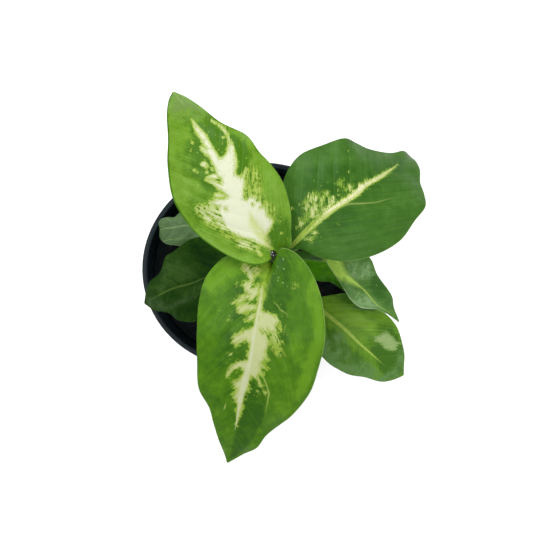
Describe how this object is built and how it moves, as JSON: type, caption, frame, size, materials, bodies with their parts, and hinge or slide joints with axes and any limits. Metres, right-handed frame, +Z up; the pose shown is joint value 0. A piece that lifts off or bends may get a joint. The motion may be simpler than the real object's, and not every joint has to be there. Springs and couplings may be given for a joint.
{
  "type": "potted dieffenbachia",
  "caption": "Young dieffenbachia with broad cream-centred leaves on one cane, standing in soil in a tapered black nursery pot.",
  "frame": {"origin": "middle of the pot's flat underside", "axes": "+Z up; -Y towards the tip of the longest leaf, the bottom of the reference view from above; +X to its right"},
  "size_m": [0.1512, 0.1893, 0.2106],
  "materials": {
    "pot_plastic": "thin black plastic with a satin sheen",
    "soil": "moist black peat potting soil",
    "cane": "green cane with pale rings",
    "leaf_bright": "young satin leaf, bright green with a large cream centre",
    "leaf_feathered": "satin leaf, green with cream feathered along the midrib",
    "leaf_broad": "satin leaf, green with a cream midrib",
    "leaf_dark": "old satin leaf, dark green",
    "leaf_grey": "satin leaf, greyish green",
    "leaf_yellow_rib": "satin leaf, green with a yellow midrib"
  },
  "bodies": {
    "root": {"pot": "pot_plastic", "soil": "soil", "stem": "cane", "leaf_upper_left": "leaf_bright", "leaf_front": "leaf_feathered", "leaf_right": "leaf_broad", "leaf_lower_left": "leaf_dark", "leaf_small_left": "leaf_grey", "leaf_lower_right": "leaf_yellow_rib", "leaf_bottom_right": "leaf_yellow_rib", "leaf_small_right": "leaf_yellow_rib"}
  },
  "joints": []
}
